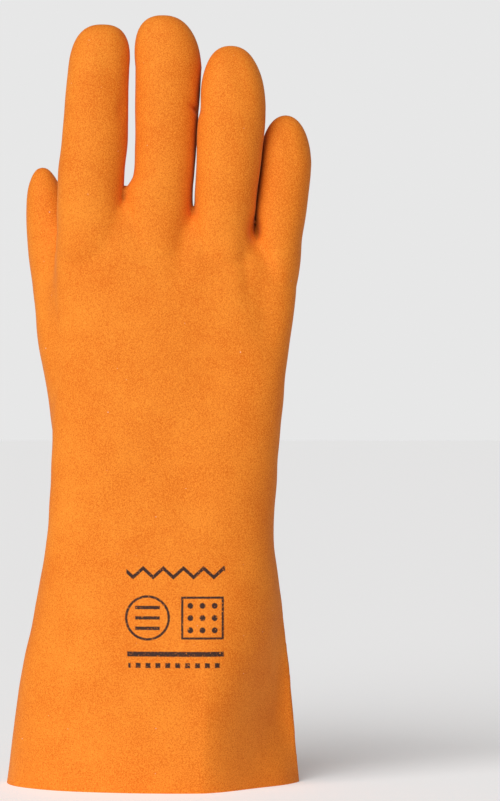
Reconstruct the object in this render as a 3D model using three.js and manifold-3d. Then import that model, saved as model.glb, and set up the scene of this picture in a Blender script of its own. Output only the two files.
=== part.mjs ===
import * as THREE from "three";
import { mergeVertices } from "three/addons/utils/BufferGeometryUtils.js";
import Module from "manifold-3d";

// Coated work glove for the right hand, standing on its open cuff with the fingers up.
// Millimetres, +Z along the fingers, back of the hand to -Y, thumb to -X.

// Sizes of the body
const BODY_LENGTH = 240; // cuff edge to the foot of the middle finger
const CUFF_WIDTH = 133.7; // cuff mouth, side to side
const CUFF_DEPTH = 58; // cuff mouth, back to palm side
const WRIST_WIDTH = 101.5;
const WRIST_DEPTH = 50;
const PALM_WIDTH = 110.7; // over the knuckles
const PALM_DEPTH = 40;
const WALL = 1.4; // coating and knit together

// Sizes of the fingers
const INDEX_LENGTH = 105.5;
const INDEX_WIDTH = 29.8;
const INDEX_DEPTH = 26;
const MIDDLE_LENGTH = 110;
const MIDDLE_WIDTH = 30.3;
const MIDDLE_DEPTH = 27;
const RING_LENGTH = 95.6;
const RING_WIDTH = 29.8;
const RING_DEPTH = 26;
const LITTLE_LENGTH = 72.3;
const LITTLE_WIDTH = 24;
const LITTLE_DEPTH = 22.5;
const THUMB_LENGTH = 162;
const THUMB_WIDTH = 23.2;
const THUMB_DEPTH = 26;

// How finely the forms are drawn
const BODY_SIDES = 44;
const BODY_RINGS = 22; // from the cuff edge to the knuckles
const FINGER_SIDES = 20;
const FINGER_STEP = 10; // height between two rings of a finger
const DOME_RINGS = 6; // from the full width of a finger to its tip
const RIM_OVERRUN = 6; // how far the hollow runs on below the cuff edge

const COAT_COLOUR = 0xf28f30;

const CUFF = { width: CUFF_WIDTH, depth: CUFF_DEPTH };
const WRIST = { width: WRIST_WIDTH, depth: WRIST_DEPTH };
const PALM = { width: PALM_WIDTH, depth: PALM_DEPTH };

// Cross sections of the body, from the cuff edge up.
// up: share of the body length. Widths and depths are shares of the size named by "of".
// left, right: side edges. ridge: where the back stands out most, by "front".
// hollow: where the palm side stands out most, by "back".
// edge: how far behind the middle the side edges lie.
// soft, tight: fullness of the back to the left and right of the ridge. full: fullness of the palm side.
// lean: fall of the section per millimetre towards the little finger.
const BODY_SECTIONS = [
  {
    up: 0, of: CUFF, left: -0.5, right: 0.5, ridge: 0.17, front: -0.53,
    hollow: -0.06, back: 0.47, edge: 0.05,
    soft: 2.3, tight: 1.4, full: 2.1, lean: 0,
  },
  {
    up: 0.167, of: CUFF, left: -0.459, right: 0.474, ridge: 0.18, front: -0.505,
    hollow: -0.05, back: 0.45, edge: 0.04,
    soft: 2.3, tight: 1.45, full: 2.1, lean: 0,
  },
  {
    up: 0.333, of: CUFF, left: -0.401, right: 0.442, ridge: 0.19, front: -0.47,
    hollow: -0.03, back: 0.435, edge: 0.02,
    soft: 2.3, tight: 1.65, full: 2.1, lean: 0,
  },
  {
    up: 0.479, of: WRIST, left: -0.469, right: 0.544, ridge: 0.2, front: -0.5,
    hollow: 0, back: 0.5, edge: 0,
    soft: 2.3, tight: 2.2, full: 2.2, lean: 0,
  },
  {
    up: 0.604, of: WRIST, left: -0.45, right: 0.559, ridge: 0.19, front: -0.465,
    hollow: 0.05, back: 0.48, edge: 0,
    soft: 2.4, tight: 2.5, full: 2.3, lean: 0,
  },
  {
    up: 0.729, of: PALM, left: -0.407, right: 0.538, ridge: 0.16, front: -0.54,
    hollow: 0.08, back: 0.56, edge: 0,
    soft: 2.4, tight: 2.6, full: 2.4, lean: 0,
  },
  {
    up: 0.854, of: PALM, left: -0.4, right: 0.566, ridge: 0.14, front: -0.48,
    hollow: 0.1, back: 0.49, edge: 0,
    soft: 2.5, tight: 2.6, full: 2.5, lean: -0.05,
  },
  {
    up: 1, of: PALM, left: -0.392, right: 0.605, ridge: 0.11, front: -0.375,
    hollow: 0.11, back: 0.38, edge: 0,
    soft: 2.7, tight: 2.7, full: 2.7, lean: -0.2,
  },
  {
    up: 1.033, of: PALM, left: -0.383, right: 0.595, ridge: 0.11, front: -0.3,
    hollow: 0.11, back: 0.3, edge: 0,
    soft: 2.6, tight: 2.6, full: 2.6, lean: -0.25,
  },
  {
    up: 1.058, of: PALM, left: -0.365, right: 0.57, ridge: 0.11, front: -0.21,
    hollow: 0.11, back: 0.21, edge: 0,
    soft: 2.5, tight: 2.5, full: 2.5, lean: -0.28,
  },
  {
    up: 1.075, of: PALM, left: -0.32, right: 0.52, ridge: 0.11, front: -0.12,
    hollow: 0.11, back: 0.12, edge: 0,
    soft: 2.4, tight: 2.4, full: 2.4, lean: -0.28,
  },
];
const BODY_TOP = 1.083; // height of the closed top, a share of the body length

// Dents of the body. at: across, share of the palm width. up: share of the body length.
// side: -1 on the back of the hand, 1 on the palm side.
// wide, tall: reach. deep: depth. All three are shares of the palm depth.
const BODY_DENTS = [
  // valleys under the middle and ring, the ring and little, and the index and middle fingers
  { at: 0.15, up: 1.02, side: -1, wide: 0.13, tall: 0.5, deep: 0.07 },
  { at: 0.44, up: 0.95, side: -1, wide: 0.14, tall: 0.7, deep: 0.07 },
  { at: -0.11, up: 1.05, side: -1, wide: 0.13, tall: 0.4, deep: 0.05 },
  // soft hollow of the back
  { at: 0.23, up: 0.82, side: -1, wide: 0.3, tall: 0.5, deep: 0.04 },
  // flank of the cuff
  { at: 0.42, up: 0.2, side: -1, wide: 0.32, tall: 1.3, deep: 0.06 },
  // hollow of the palm
  { at: 0.18, up: 0.8, side: 1, wide: 0.55, tall: 0.9, deep: 0.09 },
];

// Fingers. foot: across, share of the palm width. rise: height of the foot, share of the body length.
// tip: sideways place of the tip from the foot, share of the width.
// bow: how far the tip lies to the palm side, share of the depth.
// blunt: fullness of the rounded end, which starts at the last row.
// rows, from the foot up: up, share of the length. across: sideways shift, wide: width, shares of the width.
// deep: depth, bend: shift to the palm side, shares of the depth.
const FINGERS = [
  {
    foot: -0.249, rise: 1, length: INDEX_LENGTH, width: INDEX_WIDTH, depth: INDEX_DEPTH,
    tip: 0.16, blunt: 2.5, bow: 0.3,
    rows: [
      { up: -0.12, across: 0.03, wide: 0.95, deep: 1, bend: 0 },
      { up: 0, across: 0.053, wide: 1.17, deep: 1.16, bend: 0 },
      { up: 0.12, across: 0.02, wide: 1.1, deep: 1.1, bend: 0 },
      { up: 0.23, across: -0.015, wide: 1.02, deep: 1.04, bend: 0.01 },
      { up: 0.36, across: 0, wide: 1.015, deep: 1.01, bend: 0.04 },
      { up: 0.5, across: 0.042, wide: 1.007, deep: 0.97, bend: 0.09 },
      { up: 0.65, across: 0.068, wide: 0.973, deep: 0.96, bend: 0.15 },
      { up: 0.815, across: 0.1, wide: 0.932, deep: 0.94, bend: 0.23 },
    ],
  },
  {
    foot: 0.024, rise: 1, length: MIDDLE_LENGTH, width: MIDDLE_WIDTH, depth: MIDDLE_DEPTH,
    tip: 0.06, blunt: 2.5, bow: 0.24,
    rows: [
      { up: -0.12, across: 0, wide: 1.1, deep: 1, bend: 0 },
      { up: 0, across: 0.005, wide: 1.24, deep: 1.14, bend: 0 },
      { up: 0.11, across: 0.005, wide: 1.17, deep: 1.08, bend: 0 },
      { up: 0.21, across: -0.01, wide: 1.07, deep: 1.03, bend: 0 },
      { up: 0.275, across: 0.02, wide: 1.01, deep: 1.01, bend: 0 },
      { up: 0.33, across: 0.08, wide: 0.925, deep: 1, bend: 0 },
      { up: 0.46, across: 0.112, wide: 0.92, deep: 0.99, bend: 0.01 },
      { up: 0.56, across: 0.124, wide: 0.943, deep: 0.97, bend: 0.04 },
      { up: 0.64, across: 0.137, wide: 0.973, deep: 0.97, bend: 0.07 },
      { up: 0.782, across: 0.15, wide: 0.995, deep: 0.96, bend: 0.14 },
    ],
  },
  {
    foot: 0.292, rise: 1, length: RING_LENGTH, width: RING_WIDTH, depth: RING_DEPTH,
    tip: 0.112, blunt: 2.2, bow: 0.38,
    rows: [
      { up: -0.12, across: -0.01, wide: 1, deep: 1, bend: 0 },
      { up: 0, across: -0.015, wide: 1.12, deep: 1.15, bend: 0.01 },
      { up: 0.11, across: -0.03, wide: 1, deep: 1.09, bend: 0.06 },
      { up: 0.235, across: 0.018, wide: 0.944, deep: 1.03, bend: 0.13 },
      { up: 0.3, across: 0.037, wide: 0.945, deep: 1.01, bend: 0.17 },
      { up: 0.437, across: 0.074, wide: 0.955, deep: 0.99, bend: 0.22 },
      { up: 0.54, across: 0.086, wide: 0.99, deep: 0.98, bend: 0.25 },
      { up: 0.63, across: 0.116, wide: 1.017, deep: 0.98, bend: 0.27 },
      { up: 0.707, across: 0.136, wide: 1.01, deep: 0.97, bend: 0.29 },
    ],
  },
  {
    foot: 0.502, rise: 0.967, length: LITTLE_LENGTH, width: LITTLE_WIDTH, depth: LITTLE_DEPTH,
    tip: 0.205, blunt: 2.05, bow: 0.3,
    rows: [
      { up: -0.2, across: -0.09, wide: 0.8, deep: 1, bend: 0 },
      { up: 0, across: -0.025, wide: 0.955, deep: 1.15, bend: -0.03 },
      { up: 0.2, across: 0.04, wide: 0.95, deep: 1.07, bend: -0.1 },
      { up: 0.31, across: 0.083, wide: 0.985, deep: 1.03, bend: -0.13 },
      { up: 0.445, across: 0.134, wide: 0.99, deep: 1, bend: -0.14 },
      { up: 0.595, across: 0.184, wide: 0.98, deep: 0.98, bend: -0.09 },
      { up: 0.688, across: 0.21, wide: 0.968, deep: 0.97, bend: 0 },
    ],
  },
  {
    foot: -0.219, rise: 0.5, length: THUMB_LENGTH, width: THUMB_WIDTH, depth: THUMB_DEPTH,
    tip: -1.18, blunt: 2.15, bow: 1.1,
    rows: [
      { up: -0.06, across: 0.06, wide: 1.1, deep: 0.8, bend: 0.1 },
      { up: 0.09, across: -0.06, wide: 1.45, deep: 1.15, bend: 0.25 },
      { up: 0.265, across: -0.26, wide: 1.35, deep: 1.18, bend: 0.31 },
      { up: 0.37, across: -0.43, wide: 1.22, deep: 1.13, bend: 0.37 },
      { up: 0.481, across: -0.654, wide: 1.087, deep: 1.07, bend: 0.5 },
      { up: 0.59, across: -0.775, wide: 1.022, deep: 1.02, bend: 0.71 },
      { up: 0.711, across: -0.915, wide: 1, deep: 1, bend: 0.9 },
    ],
  },
];

const FINGER_FULLNESS = 2.15; // how far the finger's section swells beyond an ellipse

/** Value of one column at a height, carried smoothly from row to row and straight on past both ends. */
function columnAt(rows, key, up) {
  const last = rows.length - 1;
  const slope = (i) => {
    const before = rows[Math.max(i - 1, 0)];
    const after = rows[Math.min(i + 1, last)];
    return (after[key] - before[key]) / (after.up - before.up);
  };
  if (up <= rows[0].up) return rows[0][key] + slope(0) * (up - rows[0].up);
  if (up >= rows[last].up) return rows[last][key] + slope(last) * (up - rows[last].up);
  const i = rows.findIndex((row) => row.up > up) - 1;
  const gap = rows[i + 1].up - rows[i].up;
  const t = (up - rows[i].up) / gap;
  const start = (1 + 2 * t) * (1 - t) ** 2;
  const end = t * t * (3 - 2 * t);
  const leave = t * (1 - t) ** 2 * gap * slope(i);
  const arrive = t * t * (t - 1) * gap * slope(i + 1);
  return start * rows[i][key] + end * rows[i + 1][key] + leave + arrive;
}

/** Cosine and sine of an angle, swollen: fullness 2 draws an ellipse, more draws a fuller form. */
function swollen(angle, fullness) {
  const across = Math.cos(angle);
  const along = Math.sin(angle);
  return {
    across: Math.sign(across) * Math.abs(across) ** (2 / fullness),
    along: Math.sign(along) * Math.abs(along) ** (2 / fullness),
  };
}

/** Turns of a ring, evenly spaced, starting at the right-hand edge and running by the palm side. */
function ringTurns(sides) {
  return Array.from({ length: sides }, (_, i) => (2 * Math.PI * i) / sides);
}

/** How far a dent pushes a point of the body inwards. */
function dentDepth(x, z, side) {
  let depth = 0;
  for (const dent of BODY_DENTS) {
    const aside = (x - dent.at * PALM_WIDTH) / (dent.wide * PALM_DEPTH);
    const above = (z - dent.up * BODY_LENGTH) / (dent.tall * PALM_DEPTH);
    if (dent.side === side) depth += dent.deep * PALM_DEPTH * Math.exp(-(aside ** 2) - above ** 2);
  }
  return depth;
}

/** One ring of the body at a height given as a share of its length. */
function bodyRing(up) {
  const at = (key) => columnAt(BODY_LINES, key, up);
  const [left, right, ridge, hollow] = ["left", "right", "ridge", "hollow"].map(at);
  const [front, back, edge, lean] = ["front", "back", "edge", "lean"].map(at);
  return ringTurns(BODY_SIDES).map((angle) => {
    const onBack = Math.sin(angle) < 0;
    const crest = onBack ? ridge : hollow;
    const toRight = Math.cos(angle) > 0;
    const fullness = onBack ? at(toRight ? "tight" : "soft") : at("full");
    const { across, along } = swollen(angle, fullness);
    const x = crest + across * (toRight ? right - crest : crest - left);
    const z = up * BODY_LENGTH + lean * (x - ridge);
    const push = dentDepth(x, z, onBack ? -1 : 1) * Math.abs(along);
    const reach = onBack ? edge - front : back - edge;
    return new THREE.Vector3(x, edge + along * reach - Math.sign(along) * push, z);
  });
}

/** The table of the body with every width and depth in millimetres. */
const BODY_LINES = BODY_SECTIONS.map((row) => ({
  ...row,
  left: row.left * row.of.width,
  right: row.right * row.of.width,
  ridge: row.ridge * row.of.width,
  hollow: row.hollow * row.of.width,
  front: row.front * row.of.depth,
  back: row.back * row.of.depth,
  edge: row.edge * row.of.depth,
}));

/** Rings of the body from below the cuff edge, or from the edge itself, to its closed top. */
function bodyRings(overrun) {
  const heights = overrun > 0 ? [-overrun / BODY_LENGTH] : [];
  for (let i = 0; i <= BODY_RINGS; i += 1) heights.push(i / BODY_RINGS);
  heights.push(...BODY_SECTIONS.map((row) => row.up).filter((up) => up > 1));
  const rings = heights.map(bodyRing);
  const middle = rings.at(-1).reduce((sum, p) => sum.add(p), new THREE.Vector3());
  middle.divideScalar(BODY_SIDES).setZ(BODY_TOP * BODY_LENGTH);
  return { rings, tip: middle };
}

/** One ring of a finger from its middle, half width and half depth. */
function fingerRing(x, y, z, halfWidth, halfDepth) {
  return ringTurns(FINGER_SIDES).map((angle) => {
    const { across, along } = swollen(angle, FINGER_FULLNESS);
    return new THREE.Vector3(x + across * halfWidth, y + along * halfDepth, z);
  });
}

/** Rings of a finger from its foot inside the palm to its rounded tip. */
function fingerRings(finger) {
  const { width, depth, length, rows } = finger;
  const footX = finger.foot * PALM_WIDTH;
  const footZ = finger.rise * BODY_LENGTH;
  const start = rows[0].up;
  const domeStart = rows.at(-1).up;
  const steps = Math.max(2, Math.round(((domeStart - start) * length) / FINGER_STEP));
  const rings = [];
  for (let i = 0; i <= steps; i += 1) {
    const up = start + ((domeStart - start) * i) / steps;
    const at = (key) => columnAt(rows, key, up);
    const x = footX + at("across") * width;
    const y = at("bend") * depth;
    const z = footZ + up * length;
    rings.push(fingerRing(x, y, z, (at("wide") * width) / 2, (at("deep") * depth) / 2));
  }
  const top = rows.at(-1);
  const domeHeight = length * (1 - domeStart);
  for (let i = 1; i < DOME_RINGS; i += 1) {
    const turn = ((DOME_RINGS - i) * Math.PI) / 2 / DOME_RINGS;
    const { across: high, along: wide } = swollen(turn, finger.blunt);
    const x = footX + (top.across + (finger.tip - top.across) * high) * width;
    const y = (top.bend + (finger.bow - top.bend) * high) * depth;
    const z = footZ + domeStart * length + domeHeight * high;
    rings.push(fingerRing(x, y, z, (wide * top.wide * width) / 2, (wide * top.deep * depth) / 2));
  }
  const tip = new THREE.Vector3(footX + finger.tip * width, finger.bow * depth, footZ + length);
  return { rings, tip };
}

/** Moves rings and their tip inwards by a distance, square to the surface that they span. */
function insetRings({ rings, tip }, distance) {
  const sides = rings[0].length;
  const moved = rings.map((ring, row) =>
    ring.map((point, i) => {
      const above = row + 1 < rings.length ? rings[row + 1][i] : tip;
      const below = row > 0 ? rings[row - 1][i] : point;
      const along = above.clone().sub(below);
      const around = ring[(i + 1) % sides].clone().sub(ring[(i + sides - 1) % sides]);
      const outward = around.cross(along).normalize();
      return point.clone().addScaledVector(outward, -distance);
    }),
  );
  return { rings: moved, tip: tip.clone().setZ(tip.z - distance) };
}

/** Closed skin over rings: a flat foot, quads between the rings and a fan to the tip. */
function skin({ rings, tip }) {
  const sides = rings[0].length;
  const foot = rings[0].reduce((sum, p) => sum.add(p), new THREE.Vector3()).divideScalar(sides);
  const points = [...rings.flat(), foot, tip];
  const footIndex = points.length - 2;
  const tipIndex = points.length - 1;
  const faces = [];
  for (let i = 0; i < sides; i += 1) {
    const next = (i + 1) % sides;
    faces.push(footIndex, next, i);
    for (let row = 0; row + 1 < rings.length; row += 1) {
      const low = row * sides;
      const high = low + sides;
      faces.push(low + i, low + next, high + next);
      faces.push(low + i, high + next, high + i);
    }
    const top = (rings.length - 1) * sides;
    faces.push(top + i, top + next, tipIndex);
  }
  const geometry = new THREE.BufferGeometry().setFromPoints(points);
  geometry.setIndex(faces);
  return geometry;
}

const wasm = await Module();
wasm.setup();

/** Geometry as a body that can be joined and cut. */
function toBody(geometry) {
  const bare = new THREE.BufferGeometry().setAttribute("position", geometry.getAttribute("position"));
  bare.setIndex(geometry.getIndex());
  const merged = mergeVertices(bare, 1e-4);
  return new wasm.Manifold(
    new wasm.Mesh({
      numProp: 3,
      vertProperties: new Float32Array(merged.getAttribute("position").array),
      triVerts: new Uint32Array(merged.getIndex().array),
    }),
  );
}

/** Body as geometry, shifted so that it stands over the middle of its bounding box. */
function toCentredGeometry(body) {
  const mesh = body.getMesh();
  const geometry = new THREE.BufferGeometry();
  geometry.setAttribute("position", new THREE.BufferAttribute(new Float32Array(mesh.vertProperties), 3));
  geometry.setIndex(new THREE.BufferAttribute(new Uint32Array(mesh.triVerts), 1));
  geometry.computeBoundingBox();
  const { min, max } = geometry.boundingBox;
  geometry.translate(-(min.x + max.x) / 2, -(min.y + max.y) / 2, -min.z);
  geometry.computeVertexNormals();
  return geometry;
}

/** All the forms of the glove joined into one, at a distance inside its outer face. */
function gloveForm(inset) {
  const body = bodyRings(inset > 0 ? RIM_OVERRUN : 0);
  const forms = [body, ...FINGERS.map(fingerRings)];
  const bodies = forms.map((form) => toBody(skin(insetRings(form, inset))));
  return bodies.reduce((joined, next) => joined.add(next));
}

const shell = gloveForm(0).subtract(gloveForm(WALL));

const glove = new THREE.Group();
glove.name = "pvc_coated_work_glove";
const coat = new THREE.MeshStandardMaterial({ color: COAT_COLOUR, roughness: 0.75, metalness: 0 });
const shellMesh = new THREE.Mesh(toCentredGeometry(shell), coat);
shellMesh.name = "glove_shell";
glove.add(shellMesh);

export default glove;
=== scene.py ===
import bmesh
import bpy
import numpy as np
from bpy.props import FloatProperty, FloatVectorProperty, PointerProperty
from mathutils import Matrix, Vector


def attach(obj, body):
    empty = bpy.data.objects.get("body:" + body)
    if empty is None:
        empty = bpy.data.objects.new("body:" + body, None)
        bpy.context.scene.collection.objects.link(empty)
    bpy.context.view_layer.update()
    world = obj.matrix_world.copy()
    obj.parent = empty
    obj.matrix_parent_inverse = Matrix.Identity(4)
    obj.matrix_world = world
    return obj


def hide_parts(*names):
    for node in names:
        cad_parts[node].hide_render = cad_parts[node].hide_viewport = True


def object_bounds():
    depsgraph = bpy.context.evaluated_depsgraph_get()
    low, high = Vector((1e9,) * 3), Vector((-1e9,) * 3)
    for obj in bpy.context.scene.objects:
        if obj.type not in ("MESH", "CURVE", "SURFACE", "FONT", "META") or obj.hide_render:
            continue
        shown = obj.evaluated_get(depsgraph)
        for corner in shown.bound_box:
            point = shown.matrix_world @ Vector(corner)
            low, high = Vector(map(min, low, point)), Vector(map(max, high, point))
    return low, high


bl_info = {
    "name": "Coated work glove",
    "version": (1, 0, 0),
    "blender": (4, 5, 0),
    "location": "View3D > Sidebar > Glove",
    "description": "Dresses the frame of a coated work gauntlet and sets its studio",
    "category": "Object",
}

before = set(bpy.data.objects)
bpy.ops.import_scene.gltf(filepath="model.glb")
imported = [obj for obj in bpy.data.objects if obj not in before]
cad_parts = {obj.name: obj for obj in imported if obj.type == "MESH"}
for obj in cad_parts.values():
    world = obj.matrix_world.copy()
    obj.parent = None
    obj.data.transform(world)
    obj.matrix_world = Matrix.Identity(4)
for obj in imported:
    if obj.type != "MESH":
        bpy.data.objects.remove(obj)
CAD_LOW, CAD_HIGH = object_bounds()
MM = 0.001

# Sizes of the glove in millimetres
BODY_LENGTH = 240.0
CUFF_WIDTH, CUFF_DEPTH = 133.7, 58.0
CUFF_FRONT = 30.7  # from the front of the solid to the plane where y is 0 in the tables
WRIST_WIDTH, WRIST_DEPTH = 101.5, 50.0
PALM_WIDTH, PALM_DEPTH = 110.7, 40.0
WALL = 1.4  # coating and knit together
FINGER_FULLNESS = 2.15  # swelling of a finger's section beyond an ellipse, which has 2
BODY_TOP = 1.083  # height of the closed top, a share of the body length
TOP_START = 0.96  # where the body begins to close, a share of the body length
TOP_FULLNESS = 2.3  # fullness of the closed top

CUFF, WRIST, PALM = (CUFF_WIDTH, CUFF_DEPTH), (WRIST_WIDTH, WRIST_DEPTH), (PALM_WIDTH, PALM_DEPTH)

# Cross sections of the body from the cuff edge up. Each row begins with the size that its widths and
# depths are shares of. up: height, share of the body length. left, right: places of the side edges.
# ridge, front: where the crest on the back of the hand lies and how far it stands out. hollow, back: the
# same on the palm side. edge: how far the side edges lie to the palm side. soft, tight: fullness of the back
# of the hand left and right of its crest. full: fullness of the palm side. lean: rise of a section per
# millimetre towards the little finger.
BODY_COLUMNS = (
    "up", "left", "right", "ridge", "front", "hollow", "back", "edge", "soft", "tight", "full", "lean",
)
BODY_SECTIONS = (
    (CUFF, (0.0, -0.5, 0.5, 0.17, -0.57, -0.06, 0.47, 0.18, 2.3, 1.45, 2.1, 0.0)),
    (CUFF, (0.167, -0.459, 0.474, 0.18, -0.54, -0.05, 0.45, 0.14, 2.3, 1.45, 2.1, 0.0)),
    (CUFF, (0.333, -0.401, 0.442, 0.19, -0.485, -0.03, 0.435, 0.07, 2.3, 1.85, 2.1, 0.0)),
    (WRIST, (0.479, -0.469, 0.544, 0.2, -0.5, 0.0, 0.5, 0.0, 2.3, 2.2, 2.2, 0.0)),
    (WRIST, (0.604, -0.45, 0.559, 0.19, -0.465, 0.05, 0.48, 0.0, 2.4, 2.5, 2.3, 0.0)),
    (PALM, (0.729, -0.407, 0.538, 0.16, -0.54, 0.08, 0.56, 0.0, 2.4, 2.8, 2.4, 0.0)),
    (PALM, (0.854, -0.4, 0.566, 0.14, -0.48, 0.1, 0.49, 0.0, 2.5, 3.0, 2.5, -0.05)),
    (PALM, (1.0, -0.392, 0.59, 0.11, -0.375, 0.11, 0.38, 0.0, 2.7, 3.0, 2.7, -0.2)),
    (PALM, (1.09, -0.385, 0.58, 0.11, -0.36, 0.11, 0.36, 0.0, 2.7, 2.7, 2.7, -0.28)),
)

# Fingers. foot: across, share of the palm width. rise: height of the foot, share of the body length.
# tip: sideways place of the tip, share of the width. bow: its place to the palm side, share of the depth.
# blunt: fullness of the rounded end. spread: how far the finger is held aside while its skin is drawn, from
# the height of its crotch up, both in millimetres.
# rows: height as a share of the length, then sideways shift and width as shares of the width, then depth
# and shift to the palm side as shares of the depth.
FINGER_COLUMNS = ("up", "across", "wide", "deep", "bend")
FINGERS = {
    "index": {
        "foot": -0.249, "rise": 1.0, "length": 105.5, "width": 29.8, "depth": 26.0,
        "tip": 0.16, "bow": 0.3, "blunt": 2.5, "spread": -9.0, "crotch": 268.0,
        "rows": (
            (-0.12, 0.03, 0.95, 0.76, 0.0),
            (0.0, 0.053, 1.17, 1.04, 0.0),
            (0.12, 0.02, 1.1, 1.07, 0.0),
            (0.23, -0.015, 1.02, 1.04, 0.01),
            (0.36, 0.0, 1.015, 1.01, 0.04),
            (0.5, 0.042, 1.007, 0.97, 0.09),
            (0.65, 0.068, 0.973, 0.96, 0.15),
            (0.815, 0.1, 0.932, 0.94, 0.23),
        ),
    },
    "middle": {
        "foot": 0.024, "rise": 1.0, "length": 110.0, "width": 30.3, "depth": 27.0,
        "tip": 0.06, "bow": 0.32, "blunt": 2.5, "spread": -3.0, "crotch": 264.0,
        "rows": (
            (-0.12, 0.0, 1.1, 1.0, 0.0),
            (0.0, 0.005, 1.24, 1.14, 0.0),
            (0.11, 0.005, 1.17, 1.08, 0.01),
            (0.21, -0.01, 1.07, 1.03, 0.03),
            (0.275, 0.02, 1.01, 1.01, 0.05),
            (0.33, 0.08, 0.925, 1.0, 0.07),
            (0.46, 0.112, 0.92, 0.99, 0.12),
            (0.56, 0.124, 0.943, 0.97, 0.16),
            (0.64, 0.137, 0.973, 0.97, 0.19),
            (0.782, 0.15, 0.995, 0.96, 0.24),
        ),
    },
    "ring": {
        "foot": 0.292, "rise": 1.0, "length": 95.6, "width": 29.8, "depth": 26.0,
        "tip": 0.112, "bow": 0.16, "blunt": 2.2, "spread": 3.0, "crotch": 258.0,
        "rows": (
            (-0.12, -0.01, 1.0, 1.0, 0.0),
            (0.0, -0.015, 1.12, 1.15, 0.0),
            (0.11, -0.03, 1.0, 1.09, -0.02),
            (0.235, 0.018, 0.944, 1.03, -0.05),
            (0.3, 0.034, 0.958, 1.01, -0.06),
            (0.437, 0.077, 0.984, 0.99, -0.06),
            (0.54, 0.098, 1.01, 0.98, -0.05),
            (0.63, 0.12, 1.02, 0.98, -0.04),
            (0.707, 0.141, 1.0, 0.97, -0.01),
        ),
    },
    "little": {
        "foot": 0.502, "rise": 0.967, "length": 72.3, "width": 24.0, "depth": 22.5,
        "tip": 0.205, "bow": 0.45, "blunt": 2.05, "spread": 9.0, "crotch": 253.0,
        "rows": (
            (-0.2, -0.09, 0.8, 1.0, 0.0),
            (0.0, -0.025, 0.955, 1.15, 0.04),
            (0.2, 0.04, 0.95, 1.07, 0.12),
            (0.31, 0.08, 0.99, 1.03, 0.17),
            (0.445, 0.127, 1.004, 1.0, 0.21),
            (0.595, 0.177, 0.995, 0.98, 0.26),
            (0.688, 0.204, 0.981, 0.97, 0.3),
        ),
    },
    "thumb": {
        "foot": -0.219, "rise": 0.5, "length": 162.0, "width": 23.2, "depth": 26.0,
        "tip": -1.18, "bow": 1.1, "blunt": 2.15, "spread": 0.0, "crotch": 268.0,
        "rows": (
            (-0.06, 0.06, 1.1, 0.8, 0.1),
            (0.09, -0.06, 1.45, 1.15, 0.2),
            (0.265, -0.26, 1.35, 1.18, 0.21),
            (0.37, -0.43, 1.22, 1.13, 0.21),
            (0.481, -0.654, 1.087, 1.07, 0.29),
            (0.59, -0.775, 1.022, 1.02, 0.55),
            (0.711, -0.915, 1.0, 1.0, 0.86),
        ),
    },
}
SPREAD_RISE = 12.0  # height over which a finger moves aside
ROOT_BLEND, WEB_BLEND, THUMB_BLEND = 8.0, 1.8, 12.0  # reach of the soft joins
WEB_HEIGHT, ROOT_HEIGHT = 262.0, 240.0  # the reach falls from ROOT_BLEND to WEB_BLEND between these
# Painted shade between fingers that lie close: the two fingers and the height of the foot
PAINTED_SHADE_PAIRS = (("index", "middle", 262.0), ("middle", "ring", 257.0), ("ring", "little", 247.0))
PAINTED_SHADE_REACH, PAINTED_SHADE_RISE = 1.5, 7.0

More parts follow.
